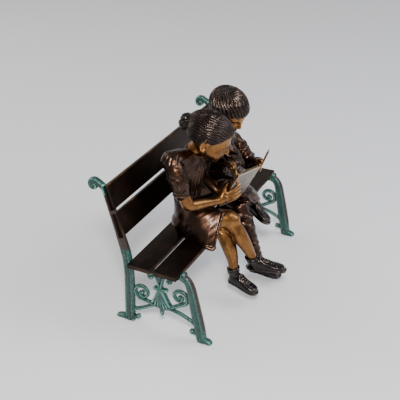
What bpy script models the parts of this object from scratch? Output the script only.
"""A girl and a boy reading on a garden bench, a tabletop bronze.

The bench is two openwork end castings and four slats. Two seated figures
with crossed legs share one book, and the boy holds a pencil.
X runs along the bench, the sitters look towards -Y, and Z is up.
"""

import bmesh
import bpy
from math import cos, pi, radians, sin, tau
from mathutils import Matrix, Vector

MM = 0.001
GAP = 0.0003

# Bench sizes
BENCH_LENGTH = 0.318
SLAT_OVERHANG = 0.009
BACK_INSET = 0.004
END_THICKNESS = 0.009
SEAT_HEIGHT = 0.105
SEAT_FRONT = 0.104
SEAT_SLAT_WIDTH = 0.035
SEAT_SLAT_GAP = 0.004
BACK_SLAT_WIDTH = 0.0345
BACK_SLAT_GAP = 0.0055
SLAT_THICKNESS = 0.006
SLAT_EASING = 0.0012
BACK_RISE = 0.033
BACK_SETBACK = 0.009
BACK_RAKE = radians(14.0)
LEG_WIDTH = 0.015
POST_TOP_WIDTH = 0.0100
LEG_LEAN = 0.005
SCROLL_RADIUS = 0.0098
VOLUTE_RADIUS = 0.0122
STROKE_WIDTH = 0.0052
SCROLLWORK_THICKNESS = 0.0066

# Book and pencil
BOOK_WIDTH = 0.0449
BOOK_HEIGHT = 0.0655
BOOK_THICKNESS = 0.0046
COVER_THICKNESS = 0.0009
COVER_OVERHANG = 0.0010
BOOK_ASIDE = 0.0203
BOOK_AHEAD = 0.0717
BOOK_ABOVE = 0.0345
PENCIL_LENGTH = 0.034
PENCIL_DIAMETER = 0.0028
GRIP_ASIDE = 0.0175
GRIP_AHEAD = 0.112
GRIP_ABOVE = 0.085
GRIP_SHARE = 0.18

# Figures: heights above the seat, and the heights that their points are drawn for
GIRL_HEIGHT = 0.182
GIRL_DRAWN = 0.182
BOY_HEIGHT = 0.183
BOY_DRAWN = 0.183
GIRL_PLACE = -0.050
BOY_PLACE = 0.040
SIT_DEPTH = 0.030

FIGURE_VOXEL = 0.00125
END_VOXEL = 0.0009
FIGURE_FACES = 2900
END_FACES = 1250

END_SPACING = BENCH_LENGTH - 2 * SLAT_OVERHANG
SEAT_REAR = SEAT_FRONT - 2 * SEAT_SLAT_WIDTH - SEAT_SLAT_GAP


def clear_scene():
    """Remove every object of the open file."""
    for thing in list(bpy.data.objects):
        bpy.data.objects.remove(thing, do_unlink=True)


def bronze(name, colour, roughness, metallic=1.0):
    """Return a plain metal material."""
    material = bpy.data.materials.new(name)
    material.use_nodes = True
    shader = material.node_tree.nodes["Principled BSDF"]
    shader.inputs["Base Color"].default_value = (*colour, 1.0)
    shader.inputs["Roughness"].default_value = roughness
    shader.inputs["Metallic"].default_value = metallic
    return material


def smooth_path(points, steps=4):
    """Return points on a smooth curve through the given rows of numbers."""
    rows = [Vector(p) for p in points]
    if len(rows) < 3:
        return rows
    path = []
    for i in range(len(rows) - 1):
        before = rows[max(i - 1, 0)]
        here, there = rows[i], rows[i + 1]
        after = rows[min(i + 2, len(rows) - 1)]
        for k in range(steps):
            t = k / steps
            path.append(0.5 * (2 * here + (there - before) * t
                               + (2 * before - 5 * here + 4 * there - after) * t ** 2
                               + (3 * here - before - 3 * there + after) * t ** 3))
    path.append(rows[-1])
    return path


def ring_mesh(bm, rings):
    """Join rings of points into a closed skin with a cap at both ends."""
    loops = [[bm.verts.new(point) for point in ring] for ring in rings]
    count = len(loops[0])
    for low, high in zip(loops, loops[1:]):
        for i in range(count):
            j = (i + 1) % count
            bm.faces.new((low[i], low[j], high[j], high[i]))
    bm.faces.new(list(reversed(loops[0])))
    bm.faces.new(loops[-1])


def tube(bm, points, radii, sides=10, flat=1.0, side_axis=None, round_ends=True):
    """Sweep a round or oval section along points, in millimetres."""
    centres = [Vector(p) for p in points]
    sizes = list(radii)
    if round_ends:
        start, end = centres[0] - centres[1], centres[-1] - centres[-2]
        first, last = sizes[0], sizes[-1]
        head = [(0.94, 0.34), (0.7, 0.72)]
        centres = ([centres[0] + start.normalized() * first * a for a, _ in head]
                   + centres
                   + [centres[-1] + end.normalized() * last * a for a, _ in reversed(head)])
        sizes = ([first * b for _, b in head] + sizes
                 + [last * b for _, b in reversed(head)])
    rings = []
    hint = Vector(side_axis) if side_axis else Vector((0.31, 0.17, 0.94))
    for i, centre in enumerate(centres):
        ahead = centres[min(i + 1, len(centres) - 1)] - centres[max(i - 1, 0)]
        ahead.normalize()
        across = hint - ahead * hint.dot(ahead)
        if across.length < 0.05:
            across = ahead.orthogonal()
        across.normalize()
        up = ahead.cross(across)
        if not side_axis:
            hint = across
        ring = []
        for k in range(sides):
            angle = tau * k / sides
            ring.append((centre + across * cos(angle) * sizes[i] * flat
                         + up * sin(angle) * sizes[i]) * MM)
        rings.append(ring)
    ring_mesh(bm, rings)


def limb(bm, *joints, sides=12):
    """Sweep a limb through joints given as (x, y, z, radius)."""
    tube(bm, [j[:3] for j in joints], [j[3] for j in joints], sides=sides)


def ball(bm, centre, radii, axes=None, divisions=3):
    """Add an ellipsoid, in millimetres, with its own side, front and up axes."""
    turn = Matrix.Identity(3)
    if axes:
        turn = Matrix(axes).transposed()
    scale = Matrix.Diagonal(Vector(radii) * MM)
    place = Matrix.Translation(Vector(centre) * MM) @ (turn @ scale).to_4x4()
    bmesh.ops.create_icosphere(bm, subdivisions=divisions, radius=1.0, matrix=place)


def new_object(name, bm, material):
    """Make an object of a bmesh whose faces are turned outwards."""
    bmesh.ops.recalc_face_normals(bm, faces=bm.faces)
    mesh = bpy.data.meshes.new(name)
    bm.to_mesh(mesh)
    bm.free()
    thing = bpy.data.objects.new(name, mesh)
    bpy.context.collection.objects.link(thing)
    if material:
        mesh.materials.append(material)
    return thing


def settle(thing):
    """Replace the object's mesh by its evaluated form and drop its modifiers."""
    view = bpy.context.evaluated_depsgraph_get()
    view.update()
    mesh = bpy.data.meshes.new_from_object(thing.evaluated_get(view))
    thing.modifiers.clear()
    old = thing.data
    thing.data = mesh
    bpy.data.meshes.remove(old)


def fuse(thing, voxel, faces, rounds=2):
    """Melt overlapping forms into one casting and thin its faces out."""
    remesh = thing.modifiers.new("Cast", "REMESH")
    remesh.mode = "VOXEL"
    remesh.voxel_size = voxel
    soften = thing.modifiers.new("Soften", "SMOOTH")
    soften.factor = 0.5
    soften.iterations = rounds
    settle(thing)
    thin = thing.modifiers.new("Thin", "DECIMATE")
    triangles = sum(len(face.vertices) - 2 for face in thing.data.polygons)
    thin.ratio = faces / triangles
    thin.use_collapse_triangulate = True
    settle(thing)


def cutter(name, bm):
    """Make a hidden cutting body."""
    body = new_object(name, bm, None)
    body.hide_render = True
    body.display_type = "WIRE"
    return body


def carve(thing, *bodies):
    """Cut bodies out of an object and keep its largest piece."""
    for body in bodies:
        cut = thing.modifiers.new("Cut", "BOOLEAN")
        cut.operation = "DIFFERENCE"
        cut.solver = "EXACT"
        cut.object = body
    settle(thing)
    bm = bmesh.new()
    bm.from_mesh(thing.data)
    bmesh.ops.remove_doubles(bm, verts=bm.verts, dist=0.00002)
    bmesh.ops.dissolve_degenerate(bm, edges=bm.edges, dist=0.00002)
    keep_largest(bm)
    bmesh.ops.triangulate(bm, faces=bm.faces)
    bm.to_mesh(thing.data)
    bm.free()


def keep_largest(bm):
    """Delete all but the piece with most faces."""
    left = set(bm.faces)
    pieces = []
    while left:
        group = []
        front = [left.pop()]
        while front:
            face = front.pop()
            group.append(face)
            for edge in face.edges:
                for near in edge.link_faces:
                    if near in left:
                        left.remove(near)
                        front.append(near)
        pieces.append(group)
    pieces.sort(key=len)
    for group in pieces[:-1]:
        bmesh.ops.delete(bm, geom=group, context="FACES")
    loose = [v for v in bm.verts if not v.link_faces]
    bmesh.ops.delete(bm, geom=loose, context="VERTS")


def flatten_feet(thing):
    """Cut the casting off flat at the ground."""
    bm = bmesh.new()
    bm.from_mesh(thing.data)
    found = bmesh.ops.bisect_plane(bm, geom=bm.verts[:] + bm.edges[:] + bm.faces[:],
                                   plane_co=(0, 0, 0), plane_no=(0, 0, -1),
                                   clear_outer=True, dist=0.00005)
    rim = [e for e in found["geom_cut"] if isinstance(e, bmesh.types.BMEdge)]
    bmesh.ops.holes_fill(bm, edges=rim, sides=0)
    bmesh.ops.triangulate(bm, faces=bm.faces)
    bm.to_mesh(thing.data)
    bm.free()


# Bench

def slat_frame(name):
    """Return the middle of a slat, its half width, its turn about X and its length."""
    seat_mid = SEAT_HEIGHT - SLAT_THICKNESS / 2
    half = SEAT_SLAT_WIDTH / 2
    if name == "seat_slat_front":
        return Vector((0, -SEAT_FRONT + half, seat_mid)), half, 0.0, BENCH_LENGTH
    if name == "seat_slat_rear":
        return Vector((0, -SEAT_REAR - half, seat_mid)), half, 0.0, BENCH_LENGTH
    half = BACK_SLAT_WIDTH / 2
    along = Vector((0, sin(BACK_RAKE), cos(BACK_RAKE)))
    behind = Vector((0, cos(BACK_RAKE), -sin(BACK_RAKE)))
    foot = Vector((0, -SEAT_REAR + BACK_SETBACK, SEAT_HEIGHT + BACK_RISE))
    reach = half + (BACK_SLAT_WIDTH + BACK_SLAT_GAP) * (name == "back_slat_upper")
    return (foot + along * reach + behind * SLAT_THICKNESS / 2, half, pi / 2 - BACK_RAKE,
            END_SPACING - 2 * BACK_INSET)


def slat_body(name, grow):
    """Return a bmesh of one slat, grown by a clearance."""
    middle, half, turn, length = slat_frame(name)
    bm = bmesh.new()
    bmesh.ops.create_cube(bm, size=1.0)
    size = Vector((length + 2 * grow, 2 * (half + grow), SLAT_THICKNESS + 2 * grow))
    bmesh.ops.scale(bm, vec=size, verts=bm.verts)
    bmesh.ops.rotate(bm, matrix=Matrix.Rotation(turn, 3, "X"), verts=bm.verts)
    bmesh.ops.translate(bm, vec=middle, verts=bm.verts)
    return bm


def make_slat(name, material):
    """Build one bench slat with eased edges."""
    slat = new_object(name, slat_body(name, 0.0), material)
    ease = slat.modifiers.new("Ease", "BEVEL")
    ease.width = SLAT_EASING
    ease.segments = 2
    return slat


def arc(centre, radius, start, end, steps=8, shrink=1.0):
    """Return points of an arc or a tightening spiral in the (y, z) plane."""
    points = []
    for k in range(steps + 1):
        t = k / steps
        angle = radians(start + (end - start) * t)
        r = radius * (1 - (1 - shrink) * t)
        points.append((centre[0] + r * cos(angle), centre[1] + r * sin(angle)))
    return points


def stroke(bm, side, points, widths, thickness, steps=3):
    """Sweep one bar of the end casting through (y, z) points in millimetres."""
    path = smooth_path([(0.0, *p) for p in points], steps)
    last = len(path) - 1
    sizes = []
    for i in range(last + 1):
        t = i / last * (len(widths) - 1)
        k = min(int(t), len(widths) - 2)
        sizes.append((widths[k] * (1 - (t - k)) + widths[k + 1] * (t - k)) / 2)
    middle = side * (END_SPACING - END_THICKNESS) / 2 / MM
    moved = [(middle, p[1], p[2]) for p in path]
    centres = [Vector(p) for p in moved]
    rings = []
    for i, centre in enumerate(centres):
        ahead = (centres[min(i + 1, last)] - centres[max(i - 1, 0)]).normalized()
        up = ahead.cross(Vector((1, 0, 0)))
        ring = []
        for k in range(12):
            angle = tau * k / 12
            across = abs(cos(angle)) ** 0.7 * (1 if cos(angle) > 0 else -1)
            rise = abs(sin(angle)) ** 0.7 * (1 if sin(angle) > 0 else -1)
            ring.append((centre + Vector((1, 0, 0)) * across * thickness / 2 / MM
                         + up * rise * sizes[i]) * MM)
        rings.append(ring)
    ring_mesh(bm, rings)


def post_strokes(bm, side):
    """Add the rear leg, the raked post and its rolled top."""
    leg = LEG_WIDTH / MM
    top = POST_TOP_WIDTH / MM
    seat = SEAT_HEIGHT / MM
    lean = sin(BACK_RAKE) / cos(BACK_RAKE)
    foot = -(SEAT_REAR - BACK_SETBACK) / MM
    line = leg / 2 - SEAT_REAR / MM
    bottom = line + LEG_LEAN / MM

    def on_post(height):
        return foot + 5.3 + (height - seat - BACK_RISE / MM) * lean, height

    end = seat + (BACK_RISE + (2 * BACK_SLAT_WIDTH + BACK_SLAT_GAP) * cos(BACK_RAKE)) / MM
    points = [(bottom, -3.0), (bottom - 2.6, seat * 0.3), (line + 0.2, seat * 0.58),
              (line - 0.8, seat * 0.85), (line + 1.4, seat + 9), on_post(seat + 34),
              on_post(seat + 58), on_post(end - 28), on_post(end - 8)]
    stroke(bm, side, points, [leg, leg, leg, leg - 1, top + 4, top + 1.8, top + 0.8, top, top - 1],
           END_THICKNESS)
    roll = SCROLL_RADIUS / MM
    eye = (on_post(end)[0] + 15.4, end - 3.0)
    turns = arc(eye, roll - 2.8, 130, -190, 12, 0.42)
    lead = [on_post(end - 16), (on_post(end - 6)[0] + 1.0, end - 5)]
    stroke(bm, side, lead + turns, [top - 1, 7.4, 6.2, 5.6, 4.6], END_THICKNESS)
    toe = [(bottom - 5, 2.9), (bottom + 4, 3.2), (bottom + 12, 3.0), (bottom + 19, 2.0)]
    stroke(bm, side, toe, [7, 8, 7.5, 4.5], END_THICKNESS)
    stroke(bm, side, [(bottom - 6, 6.0), (bottom - 14, 9.6)], [5, 6.6], SCROLLWORK_THICKNESS)


def front_leg_strokes(bm, side):
    """Add the front leg, curved out at the knee, with its toe."""
    leg = LEG_WIDTH / MM
    front = SEAT_FRONT / MM
    seat = SEAT_HEIGHT / MM
    points = [(-front + 9, seat - 9.5), (-front - 3, seat - 6.5), (-front - 12, seat - 16),
              (-front - 16.8, seat * 0.62), (-front - 20.5, seat * 0.4),
              (-front - 24, seat * 0.2), (-front - 27, -3)]
    stroke(bm, side, points, [7, 10.5, 12.5, leg - 0.5, leg + 1, leg + 1, 14], END_THICKNESS)
    toe = [(-front - 25, 5.0), (-front - 32, 3.8), (-front - 37, 3.0), (-front - 39.5, 2.0)]
    stroke(bm, side, toe, [11.5, 9.0, 7.5, 4.0], END_THICKNESS)
    stroke(bm, side, [(-front - 18, 12), (-front - 12, 13.5)], [5, 6.6], SCROLLWORK_THICKNESS)
    shoulder = [(-front - 4, seat - 9), (-front - 5.2, seat - 1.0)]
    stroke(bm, side, shoulder, [8, 6.5], END_THICKNESS)


def scroll_strokes(bm, side):
    """Add the volutes, the palmette and the arched lower bar between the legs."""
    rear = -SEAT_REAR / MM
    front = -SEAT_FRONT / MM
    seat = SEAT_HEIGHT / MM
    middle = (rear + front) / 2 - 4
    ring = VOLUTE_RADIUS / MM
    bar = STROKE_WIDTH / MM
    thick = SCROLLWORK_THICKNESS
    under = seat - SLAT_THICKNESS / MM - GAP / MM
    left = (rear - 11.8, seat * 0.515)
    right = (front + 3.6, seat * 0.61)
    for eye, way in ((left, 1), (right, -1)):
        sweep = [(eye[0] + way * (ring - 1) * cos(radians(a)), eye[1] + (ring - 1) * sin(radians(a)))
                 for a in range(-75, 181, 30)]
        curl = [(eye[0] + way * r * cos(radians(a)), eye[1] + r * sin(radians(a)))
                for a, r in ((215, ring - 3.5), (250, ring - 5.5), (290, ring - 7.0))]
        join = [(middle + way * 3, seat * 0.37), (middle + way * 9, seat * 0.375)]
        stroke(bm, side, join + sweep + curl, [bar, bar + 0.6, bar, bar, bar, bar - 1], thick)
        nub = (eye[0] + way * 0.5, eye[1])
        stroke(bm, side, [(nub[0] - 1.2, nub[1]), (nub[0] + 1.2, nub[1])], [6, 6], thick + MM)
    for way in (1, -1):
        stem = [(middle, seat * 0.6), (middle + way * 2.5, seat * 0.74),
                (middle + way * 6, seat * 0.84), (middle + way * 11, seat * 0.87)]
        curl = arc((middle + way * 13.5, seat * 0.81), 4.2, 90, 90 - way * 290, 7, 0.35)
        stroke(bm, side, stem + curl[1:], [5.5, 5, 4.4, 4.4, 4.2, 3.2], thick)
    stroke(bm, side, [(middle, seat * 0.8), (middle + 1.0, under + 1)], [7, 7], thick)
    stroke(bm, side, [(middle - 9, seat * 0.655), (middle + 8, seat * 0.655)], [5, 5], thick + MM)
    for k in range(-2, 3):
        tip = (middle + k * 5.6, seat * (0.36 + 0.035 * abs(k)))
        stroke(bm, side, [(middle + k * 1.6, seat * 0.64), (middle + k * 4.2, seat * 0.48), tip],
               [4.6, 6.0, 3.4], thick + MM)
    stroke(bm, side, [(middle, seat * 0.4), (middle, seat * 0.25)], [8, 3.5], thick + MM)
    apron = [(rear + 6, 20.5), (rear - 8, seat * 0.25), (middle + 12, seat * 0.365),
             (middle, seat * 0.385), (middle - 14, seat * 0.375), (front + 2, seat * 0.34),
             (front - 17, seat * 0.26)]
    stroke(bm, side, apron, [5.6, 5.0, 5.0, 5.0, 5.0, 5.6], thick)
    ledge = [(rear + 4, under - 2.0), (rear - 30, under - 1.6), (front + 4, under - 1.6)]
    stroke(bm, side, ledge, [3.6, 3.2, 3.6], thick * 0.5)


def make_end(name, side, material, slats):
    """Build one openwork end of the bench."""
    bm = bmesh.new()
    post_strokes(bm, side)
    front_leg_strokes(bm, side)
    scroll_strokes(bm, side)
    casting = new_object(name, bm, material)
    fuse(casting, END_VOXEL, END_FACES, 1)
    carve(casting, *slats)
    flatten_feet(casting)
    return casting


# Figures

class Figure:
    """Collects one figure's forms, given in millimetres from its seat point."""

    def __init__(self, place, height, design_height):
        self.bm = bmesh.new()
        self.place = place
        self.scale = height / design_height

    def limb(self, *joints, sides=12):
        """Add a limb through joints given as (x, y, z, radius)."""
        limb(self.bm, *joints, sides=sides)

    def ball(self, centre, radii, axes=None, divisions=3):
        """Add an ellipsoid."""
        ball(self.bm, centre, radii, axes, divisions)

    def fold(self, points, radius, end=0.45):
        """Add one raised fold that thins out towards both ends."""
        path = smooth_path(points, 3)
        last = len(path) - 1
        sizes = [radius * (end + (1 - end) * sin(pi * i / last)) for i in range(last + 1)]
        tube(self.bm, path, sizes, sides=8)

    def oval_body(self, sections):
        """Add a trunk through sections (x, y, z, half width, half depth)."""
        rings = []
        for x, y, z, wide, deep in sections:
            ring = []
            for k in range(24):
                angle = tau * k / 24
                ring.append(Vector((x + wide * cos(angle), y + deep * sin(angle), z)) * MM)
            rings.append(ring)
        ring_mesh(self.bm, rings)

    def shoe(self, heel, toe, up):
        """Add a laced shoe between its heel and toe points at sole level."""
        heel, toe, up = Vector(heel), Vector(toe), Vector(up).normalized()
        ahead = (toe - heel).normalized()
        up = (up - ahead * up.dot(ahead)).normalized()
        side = ahead.cross(up)
        length = (toe - heel).length
        rows = ((-0.02, 4.0, 8), (0.04, 7.2, 15), (0.18, 8.2, 17.5), (0.36, 8.0, 16),
                (0.52, 8.4, 12.5), (0.68, 9.2, 10.5), (0.84, 8.8, 9.0), (0.95, 6.6, 7.4),
                (1.0, 3.4, 5.6))
        rings = []
        for share, wide, high in rows:
            ring = []
            for k in range(16):
                angle = tau * k / 16
                rise = sin(angle)
                level = high * (0.5 + 0.5 * rise) if rise > 0 else high * 0.5 * (1 + rise * 0.98)
                spread = wide * (abs(cos(angle)) ** 0.6) * (1 if cos(angle) > 0 else -1)
                ring.append((heel + ahead * length * share + up * level + side * spread) * MM)
            rings.append(ring)
        ring_mesh(self.bm, rings)
        sole = []
        for share, wide in ((-0.04, 5.2), (0.05, 8.4), (0.3, 8.6), (0.62, 9.6), (0.85, 9.4),
                            (1.0, 6.4), (1.04, 3.4)):
            sole.append([(heel + ahead * length * share + side * wide * a + up * b) * MM
                         for a, b in ((-1, -0.6), (1, -0.6), (1, 2.2), (-1, 2.2))])
        ring_mesh(self.bm, sole)
        for k in range(4):
            middle = heel + ahead * length * (0.42 + 0.11 * k) + up * (15.5 - 1.9 * k)
            self.fold([middle - side * 4.5 - up * 1.6, middle, middle + side * 4.5 - up * 1.6], 1.3)

    def hand(self, wrist, palm, fingers, thumb):
        """Add a hand: a palm, four fingers and a thumb."""
        self.limb((*wrist, 5.0), (*palm, 6.2))
        for path in fingers:
            tube(self.bm, path, [2.5] * (len(path) - 1) + [2.1], sides=8)
        tube(self.bm, thumb, [2.9] * (len(thumb) - 1) + [2.3], sides=8)

    def done(self, name, material):
        """Scale, place and fuse the figure."""
        lift = Vector((self.place, -SIT_DEPTH, SEAT_HEIGHT))
        bmesh.ops.scale(self.bm, vec=(self.scale,) * 3, verts=self.bm.verts)
        bmesh.ops.translate(self.bm, vec=lift, verts=self.bm.verts)
        thing = new_object(name, self.bm, material)
        fuse(thing, FIGURE_VOXEL, FIGURE_FACES)
        return thing


def head_axes(yaw, pitch, tilt):
    """Return a head's side, front and up axes from its angles in degrees."""
    turn = (Matrix.Rotation(radians(yaw), 3, "Z") @ Matrix.Rotation(radians(tilt), 3, "Y")
            @ Matrix.Rotation(radians(pitch), 3, "X"))
    return [turn @ Vector(a) for a in ((1, 0, 0), (0, -1, 0), (0, 0, 1))]


def add_head(figure, centre, axes, hair):
    """Add a calm child's head of plain proportions, under a cap of hair."""
    side, ahead, up = axes
    middle = Vector(centre)

    def at(x, y, z):
        return middle + side * x + ahead * y + up * z

    figure.ball(at(0, -2, 4), (19.5, 24, 20), axes)
    figure.ball(at(0, 7, -8), (15.5, 15, 17.5), axes)
    figure.ball(at(0, 13, -19), (7.5, 7, 6), axes)
    for way in (-1, 1):
        figure.ball(at(9 * way, 13, -10), (7, 7, 8), axes)
        figure.ball(at(19.2 * way, -1, -5), (2.6, 5, 6.6), axes)
    figure.limb((*at(0, 21.5, -1), 1.9), (*at(0, 24.0, -6.5), 3.0), sides=8)
    figure.ball(at(0, 20.6, -13), (4.6, 2.6, 2.4), axes)
    figure.ball(at(0, -3.5, 8.5), hair, axes)


def hair_lock(figure, centre, axes, hair, start, end, bend, radius=1.9):
    """Lay one lock on the hair's surface between two directions in degrees."""
    side, ahead, up = axes
    middle = Vector(centre) + ahead * -3.5 + up * 8.5
    points = []
    for k in range(6):
        t = k / 5
        turn = radians(start[0] + (end[0] - start[0]) * t + bend * sin(pi * t))
        rise = radians(start[1] + (end[1] - start[1]) * t)
        points.append(middle + side * hair[0] * cos(rise) * sin(turn)
                      + ahead * hair[1] * cos(rise) * cos(turn) + up * hair[2] * sin(rise))
    figure.fold(points, radius)


def skirt_rings(figure):
    """Add the girl's skirt, laid over both thighs and drawn to a slanting hem."""
    rows = ((-21, 2, 19, 20, 44, 2.2), (-33, 2, 24, 25, 47, 2.1), (-50, 2, 29, 27, 46, 1.9),
            (-64, 3, 33, 28, 43, 1.6), (-76, 4, 34, 27, 40, 1.35), (-85, 4, 30, 26, 37.5, 1.15))
    rings = []
    for y, x, near, far, top, power in rows:
        ring = []
        for k in range(40):
            angle = tau * k / 40
            wide = far if cos(angle) > 0 else -near
            spread = wide * abs(cos(angle)) ** (2 / power)
            level = top * sin(angle) ** (2 / power) if sin(angle) > 0 else -2.0
            ring.append(Vector((x + spread, y, level)) * MM)
        rings.append(ring)
    ring_mesh(figure.bm, rings)


def make_girl(material):
    """Build the girl, who holds the book with her right hand."""
    girl = Figure(GIRL_PLACE, GIRL_HEIGHT, GIRL_DRAWN)
    girl.oval_body([(0, -31, 2, 22.5, 15), (0, -32, 16, 23.5, 16), (0, -32, 34, 23, 16),
                    (0, -33, 54, 22.5, 16.5), (0, -36, 78, 25, 19), (0, -40, 102, 28, 20),
                    (0, -43, 119, 26, 16), (1, -47, 129, 15, 12)])
    girl.limb((0, -45, 116, 13), (1, -49, 127, 11.5), (3, -57, 136, 10.5))
    girl.limb((-14, -42, 123, 10), (-26, -38, 123, 12), (-34, -36, 120, 13), (-39.5, -41, 112, 13),
              (-41.5, -46, 98, 12.4), (-41.5, -49, 84, 10.6))
    girl.limb((14, -44, 122, 10), (24, -43, 120, 12), (32, -44, 114, 12.5), (36.5, -41, 102, 12),
              (39.5, -37, 90, 11), (41, -35, 82, 10.2))
    girl.limb((-41.5, -49, 90, 8.4), (-40, -53, 76, 8.2), (-37, -57, 65, 8.0),
              (-22, -66, 61.5, 7.2), (-6, -74, 57.5, 6.0), (5, -79, 54.5, 5.2))
    girl.limb((41, -35, 88, 8), (43, -33, 68, 7.8), (45.5, -44, 52, 7), (45.5, -56, 43, 6.2),
              (44, -65, 42, 5.6))
    girl.hand((5, -79, 54.5), (12.5, -84, 56),
              [[(15, -87.5, 50.5 + 4.2 * k), (23, -93.6, 52 + 4.9 * k), (33, -96.4, 54 + 5.4 * k)]
               for k in range(4)],
              [(10, -81, 58), (14, -79.5, 67), (20, -80, 75)])
    girl.hand((43, -66, 43), (45, -69, 36),
              [[(44, -70, 38), (42 + 3.4 * k, -75, 44), (42 + 3.6 * k, -80.5, 54)]
               for k in range(4)],
              [(43, -68, 38), (37, -72, 42), (34, -76, 49)])
    girl.limb((-14, -24, 20, 18), (3, -62, 24, 15), (17, -88, 21, 12.5), sides=14)
    girl.limb((17, -88, 21, 12.5), (18.5, -99, 2, 11.0), (21.5, -111, -20, 8.6),
              (24, -118, -35, 6.8), (25, -120, -42, 7.2))
    girl.limb((12, -24, 19, 17), (12, -62, 14, 13.5), (11, -84, 7, 12))
    girl.limb((11, -84, 7, 12), (9, -91, -12, 11), (8, -95, -28, 9.2), (7, -98, -45, 7.0),
              (7, -98, -58, 7.4))
    girl.shoe((25, -112, -56), (36, -164, -55), (0.1, 0, 1))
    girl.shoe((8, -92, -73), (3, -135, -81.5), (0, -0.15, 1))
    skirt_rings(girl)
    for k in range(5):
        out = 9 * (k - 2)
        girl.fold([(out * 0.7, -56, 112), (out, -58, 84), (out * 0.8, -49.5, 58)], 2.4)
    for k in range(5):
        lean = 5 * (k - 2)
        girl.fold([(-26, -38 - lean * 0.6, 134), (-40, -38 - lean, 127), (-50, -43 - lean, 112)], 2.2)
        girl.fold([(24, -43 - lean * 0.6, 131), (38, -45 - lean, 122), (46, -51 - lean, 106)], 2.0)
    axes = head_axes(18, 26, 4)
    centre = (4.5, -69, 149)
    hair = (24.0, 28.5, 23.0)
    add_head(girl, centre, axes, hair)
    for k in range(7):
        for way in (-1, 1):
            hair_lock(girl, centre, axes, hair, (way * (20 + 9 * k), 58 - 13 * k),
                      (way * 165, 25 - 5 * k), 6 * way)
    bun = Vector(centre) - axes[1] * 32 + axes[2] * 4
    girl.ball(bun, (10.5, 9.5, 11), axes)
    for k in range(4):
        turn = tau * k / 4
        girl.fold([bun + axes[0] * 9 * cos(turn + a) + axes[2] * 9.5 * sin(turn + a)
                   - axes[1] * 6 * (a - 0.6) for a in (0.0, 0.6, 1.2)], 2.6)
    return girl.done("girl", material)


def make_boy(material):
    """Build the boy, who rests one hand on the page and holds the pencil."""
    boy = Figure(BOY_PLACE, BOY_HEIGHT, BOY_DRAWN)
    boy.oval_body([(2, -20, 2, 27, 19), (2, -22, 16, 30, 23), (2, -27, 36, 28, 21),
                   (2, -31, 58, 27, 20), (2, -36, 76, 27, 20), (1, -41, 94, 25, 19),
                   (0, -45, 106, 22, 15), (0, -48, 117, 13, 11)])
    boy.limb((1, -47, 104, 12), (0, -50, 116, 11), (-1, -52, 132, 10.5))
    boy.limb((-12, -48, 108, 11), (-20, -58, 101, 12.3), (-18, -68, 85, 11.6), (-13, -75, 66, 10.6),
             (-22, -78.5, 73, 9.5), (-38, -80, 86, 8), (-47, -81, 91, 7))
    grip = Vector((-GRIP_ASIDE, -GRIP_AHEAD, GRIP_ABOVE)) / MM

    def held(x, y, z):
        return grip + Vector((x, y, z))

    boy.limb((12, -45, 103, 11), (18, -53, 93, 11.6), (19, -64, 79, 11), (11, -83, 67, 10),
             (*held(19.5, 18, -12), 9), (*held(12.5, 12, -6), 7))
    boy.hand((-49, -81.5, 92), (-58, -87, 95),
             [[(-61, -90, 96 - 2.6 * k), (-66, -95, 94 - 3.6 * k), (-69, -99.5, 89 - 4.0 * k)]
              for k in range(4)],
             [(-57, -84, 97), (-62, -88, 101), (-67, -93, 100)])
    boy.hand(held(11.5, 11.5, -5), held(5.5, 6.5, -2),
             [[held(3.5, 5, -2.6 * k), held(-1.5, 2, 1.5 - 2.8 * k), held(-5, 1, 1 - 2.8 * k)]
              for k in range(4)],
             [held(5.5, 5, 1), held(1.5, 2, 4.5), held(-2.5, -0.5, 6)])
    boy.limb((-10, -20, 24, 19), (-18, -55, 38, 16), (-22, -76, 44, 13.5), sides=14)
    boy.limb((-22, -76, 44, 13.5), (-12, -83, 30, 12.5), (1, -87, 17, 10.5), (6, -87, 11, 9.5))
    boy.limb((6, -86, 12, 6.5), (7, -85, 0, 6.5))
    boy.limb((10, -20, 20, 18), (-9, -56, 14, 15.5), (-24, -80, 9, 12.5), sides=14)
    boy.limb((-24, -80, 9, 12.5), (-25, -90, -10, 11.5), (-26, -97, -32, 10), (-26, -103, -52, 9.5),
             (-26, -106, -67, 10))
    boy.limb((-26, -106, -67, 7), (-26, -106, -78, 6.5))
    boy.shoe((11, -76, -6), (-4, -116, -18), (0.15, -0.35, 1))
    boy.shoe((-26, -98, -88), (-24, -144, -91), (0, 0, 1))
    for k in range(3):
        boy.fold([(-31, -70 - 3 * k, 100 - 9 * k), (-19, -80 - 2 * k, 97 - 10 * k),
                  (-8, -72, 96 - 9 * k)], 2.4)
        boy.fold([(-34, -74, 18 - 10 * k), (-26, -93 - 3 * k, 12 - 11 * k),
                  (-15, -82 - 2 * k, 16 - 10 * k)], 1.8)
    for k in range(4):
        out = 8 * (k - 1.5)
        boy.fold([(out, -66, 96), (out * 1.2, -57, 60), (out * 1.1, -47, 34)], 2.4)
    for way in (-1, 1):
        boy.fold([(way * 12, -40, 120), (way * 11, -57, 117), (way * 3, -63, 107)], 3.2)
    axes = head_axes(-14, 27, 3)
    centre = (0, -54, 149)
    hair = (25.0, 28.5, 24)
    add_head(boy, centre, axes, hair)
    for k in range(14):
        turn = -168 + 26 * k
        boy_low = 12 if abs(turn) < 60 else -8
        hair_lock(boy, centre, axes, hair, (turn * 0.6 - 20, 76), (turn, boy_low), 14, 2.3)
    return boy.done("boy", material)


# Book and pencil

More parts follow.
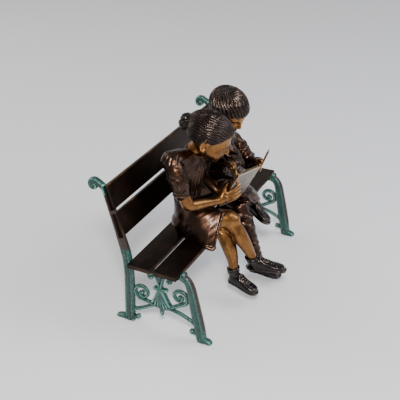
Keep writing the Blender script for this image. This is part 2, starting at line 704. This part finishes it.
def book_axes():
    """Return the book's lower near corner, its side, its rise and its front."""
    near = Vector((GIRL_PLACE + BOOK_ASIDE, -SIT_DEPTH - BOOK_AHEAD, SEAT_HEIGHT + BOOK_ABOVE))
    across = Vector((43.1, -11.6, -4.6)).normalized()
    rise = Vector((-2.3, -31.9, 57.2))
    rise = (rise - across * rise.dot(across)).normalized()
    return near, across, rise, across.cross(rise)


def slab(bm, corner, across, rise, depth, sizes):
    """Add a box from a corner along three directions."""
    wide, high, deep = sizes
    points = [[corner + across * wide * i + rise * high * j + depth * deep * k
               for i, j in ((0, 0), (1, 0), (1, 1), (0, 1))] for k in (0, 1)]
    ring_mesh(bm, points)


def book_body(grow):
    """Return the book's covers and pages as one body, grown by a clearance."""
    near, across, rise, front = book_axes()
    bm = bmesh.new()
    corner = near - (across + rise + front * -1) * grow
    back = -front
    size = (BOOK_WIDTH + 2 * grow, BOOK_HEIGHT + 2 * grow, BOOK_THICKNESS + 2 * grow)
    if grow:
        slab(bm, corner, across, rise, back, size)
        return bm
    slab(bm, near, across, rise, back, (BOOK_WIDTH, BOOK_HEIGHT, COVER_THICKNESS))
    return bm


def make_book(material):
    """Build the book: a stiff cover with its block of pages behind it."""
    near, across, rise, front = book_axes()
    book = new_object("book", book_body(0.0), material)
    bm = bmesh.new()
    inset = COVER_OVERHANG
    corner = near + across * inset + rise * inset - front * COVER_THICKNESS * 0.5
    slab(bm, corner, across, rise, -front,
         (BOOK_WIDTH - inset * 1.2, BOOK_HEIGHT - 2 * inset, BOOK_THICKNESS - COVER_THICKNESS * 0.5))
    pages = cutter("page_block", bm)
    join = book.modifiers.new("Pages", "BOOLEAN")
    join.operation = "UNION"
    join.solver = "EXACT"
    join.object = pages
    settle(book)
    bpy.data.objects.remove(pages, do_unlink=True)
    return book


def pencil_line():
    """Return the pencil's lower end and its direction."""
    grip = Vector((BOY_PLACE - GRIP_ASIDE, -SIT_DEPTH - GRIP_AHEAD, SEAT_HEIGHT + GRIP_ABOVE))
    aim = Vector((-1.5, -10.5, 24.0)).normalized()
    return grip - aim * PENCIL_LENGTH * GRIP_SHARE, aim


def pencil_body(grow):
    """Return the pencil as a six-sided rod with a point, grown by a clearance."""
    foot, aim = pencil_line()
    radius = (PENCIL_DIAMETER / 2 + grow) / MM
    length = PENCIL_LENGTH / MM
    shares = ((0.0, 1.0), (0.84, 1.0), (1.0, 0.35))
    bm = bmesh.new()
    tube(bm, [(foot + aim * length * share * MM) / MM for share, _ in shares],
         [radius * size for _, size in shares], sides=6, round_ends=False)
    return bm


def seat_block():
    """Return the space that the seat slats take under the sitters."""
    bm = bmesh.new()
    bmesh.ops.create_cube(bm, size=1.0)
    depth = SEAT_FRONT - SEAT_REAR + 2 * GAP
    bmesh.ops.scale(bm, vec=(BENCH_LENGTH, depth, 0.06), verts=bm.verts)
    middle = Vector((0, -(SEAT_FRONT + SEAT_REAR) / 2, SEAT_HEIGHT + GAP - 0.03))
    bmesh.ops.translate(bm, vec=middle, verts=bm.verts)
    return bm


def main():
    """Build the whole group and set it on its origin."""
    clear_scene()
    green = bronze("verdigris_bronze", (0.10, 0.27, 0.24), 0.55, 0.4)
    dark = bronze("dark_bronze", (0.06, 0.04, 0.03), 0.35)
    brown = bronze("figure_bronze", (0.16, 0.10, 0.06), 0.32)
    grey = bronze("book_bronze", (0.32, 0.29, 0.26), 0.35)
    names = ("back_slat_upper", "back_slat_lower", "seat_slat_rear", "seat_slat_front")
    beds = [cutter("bed_" + name, slat_body(name, GAP)) for name in names]
    parts = [make_slat(name, dark) for name in names]
    parts.append(make_end("bench_end_right", -1, green, beds))
    parts.append(make_end("bench_end_left", 1, green, beds))
    seat = cutter("bed_seat", seat_block())
    book_bed = cutter("bed_book", book_body(GAP))
    pencil_bed = cutter("bed_pencil", pencil_body(GAP))
    girl = make_girl(brown)
    carve(girl, seat, book_bed)
    boy = make_boy(brown)
    carve(boy, seat, book_bed, pencil_bed)
    parts += [girl, boy, make_book(grey), new_object("pencil", pencil_body(0.0), dark)]
    for thing in beds + [seat, book_bed, pencil_bed]:
        bpy.data.objects.remove(thing, do_unlink=True)
    stand = bpy.data.objects.new("stand", None)
    bpy.context.collection.objects.link(stand)
    bpy.context.view_layer.update()
    reach = [corner[1] for part in parts for corner in part.bound_box]
    stand.location.y = -(min(reach) + max(reach)) / 2
    for part in parts:
        part.parent = stand


main()
